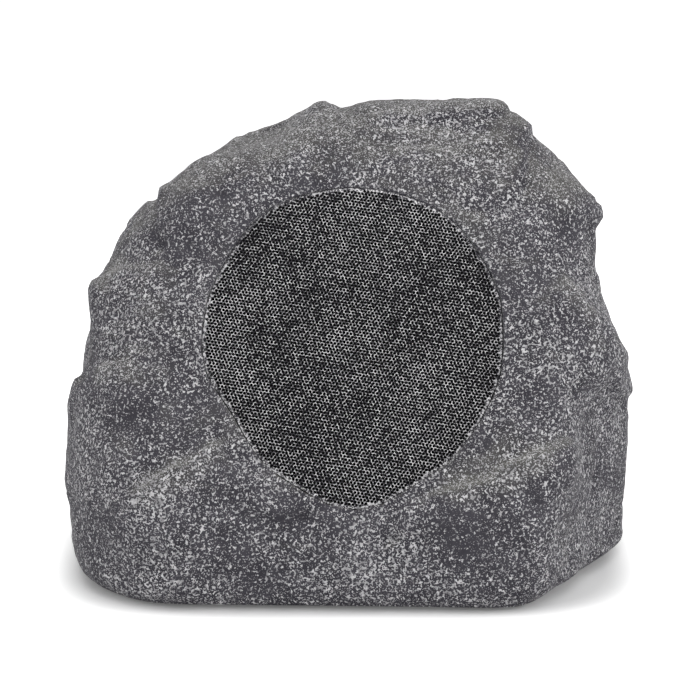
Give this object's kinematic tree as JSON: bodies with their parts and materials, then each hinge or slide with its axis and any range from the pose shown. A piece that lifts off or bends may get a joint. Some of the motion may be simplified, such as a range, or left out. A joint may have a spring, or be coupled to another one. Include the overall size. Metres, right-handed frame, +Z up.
{
  "type": "rock shaped garden speaker",
  "caption": "Garden loudspeaker moulded as a speckled granite boulder, with a tilted perforated grille over a sealed coaxial driver and a cable gland at the back.",
  "frame": {"origin": "centre of the bounding box at the underside of the feet, on the ground", "axes": "+Z up, +X to the right seen from the front, -Y out of the front, where the grille faces"},
  "size_m": [0.368, 0.324, 0.3],
  "materials": {
    "rock": "speckled granite-effect moulded resin",
    "base": "textured black plastic",
    "foam_seal": "closed-cell foam strip",
    "screw_steel": "zinc plated",
    "foot_rubber": "matt rubber",
    "grille_steel": "perforated sheet, painted as the rock",
    "scrim_cloth": "black acoustic cloth",
    "basket_steel": "black painted pressed steel",
    "surround_rubber": "rubber roll",
    "spider_cloth": "resin-dipped cloth",
    "motor_steel": "passivated steel",
    "ferrite": "sintered ferrite",
    "tweeter_shell": "black plastic",
    "dome_film": "silvered film",
    "strip_board": "phenolic strip",
    "copper": "braided copper",
    "circuit_board": "circuit board",
    "coil_wire": "enamelled copper wire",
    "capacitor_sleeve": "sleeved capacitor",
    "terminal_green": "moulded terminal",
    "cable_black": "insulated cable",
    "gland_nylon": "black nylon",
    "gland_rubber": "rubber seal",
    "cone_poly": "ribbed polymer cone",
    "former_film": "heat-proof film"
  },
  "bodies": {
    "cabinet": {"rock_shell": "rock", "base_plate": "base", "base_gasket": "foam_seal", "base_screws": "screw_steel", "rubber_feet": "foot_rubber", "grille": "grille_steel", "grille_scrim": "scrim_cloth", "woofer_basket": "basket_steel", "driver_screws": "screw_steel", "woofer_surround": "surround_rubber", "spider": "spider_cloth", "front_plate": "motor_steel", "ferrite_magnet": "ferrite", "pole_yoke": "motor_steel", "tweeter_post": "screw_steel", "post_nut": "screw_steel", "tweeter_housing": "tweeter_shell", "tweeter_dome": "dome_film", "terminal_strip": "strip_board", "tinsel_leads": "copper", "crossover_board": "circuit_board", "crossover_inductor": "coil_wire", "crossover_capacitor": "capacitor_sleeve", "terminal_block": "terminal_green", "woofer_cable": "cable_black", "tweeter_cable": "cable_black", "gland_body": "gland_nylon", "gland_nut": "gland_nylon", "gland_cap": "gland_nylon", "gland_seal": "gland_rubber"},
    "cone_assembly": {"woofer_cone": "cone_poly", "coil_former": "former_film", "voice_coil": "coil_wire"}
  },
  "joints": [
    {"name": "cone_travel", "type": "slide", "parent": "cabinet", "child": "cone_assembly", "axis": [0, -0.9121, 0.4101], "range_m": [-0.004, 0.004], "stiffness_N_per_m": 1200, "deforming": ["woofer_surround", "spider", "tinsel_leads"]}
  ]
}
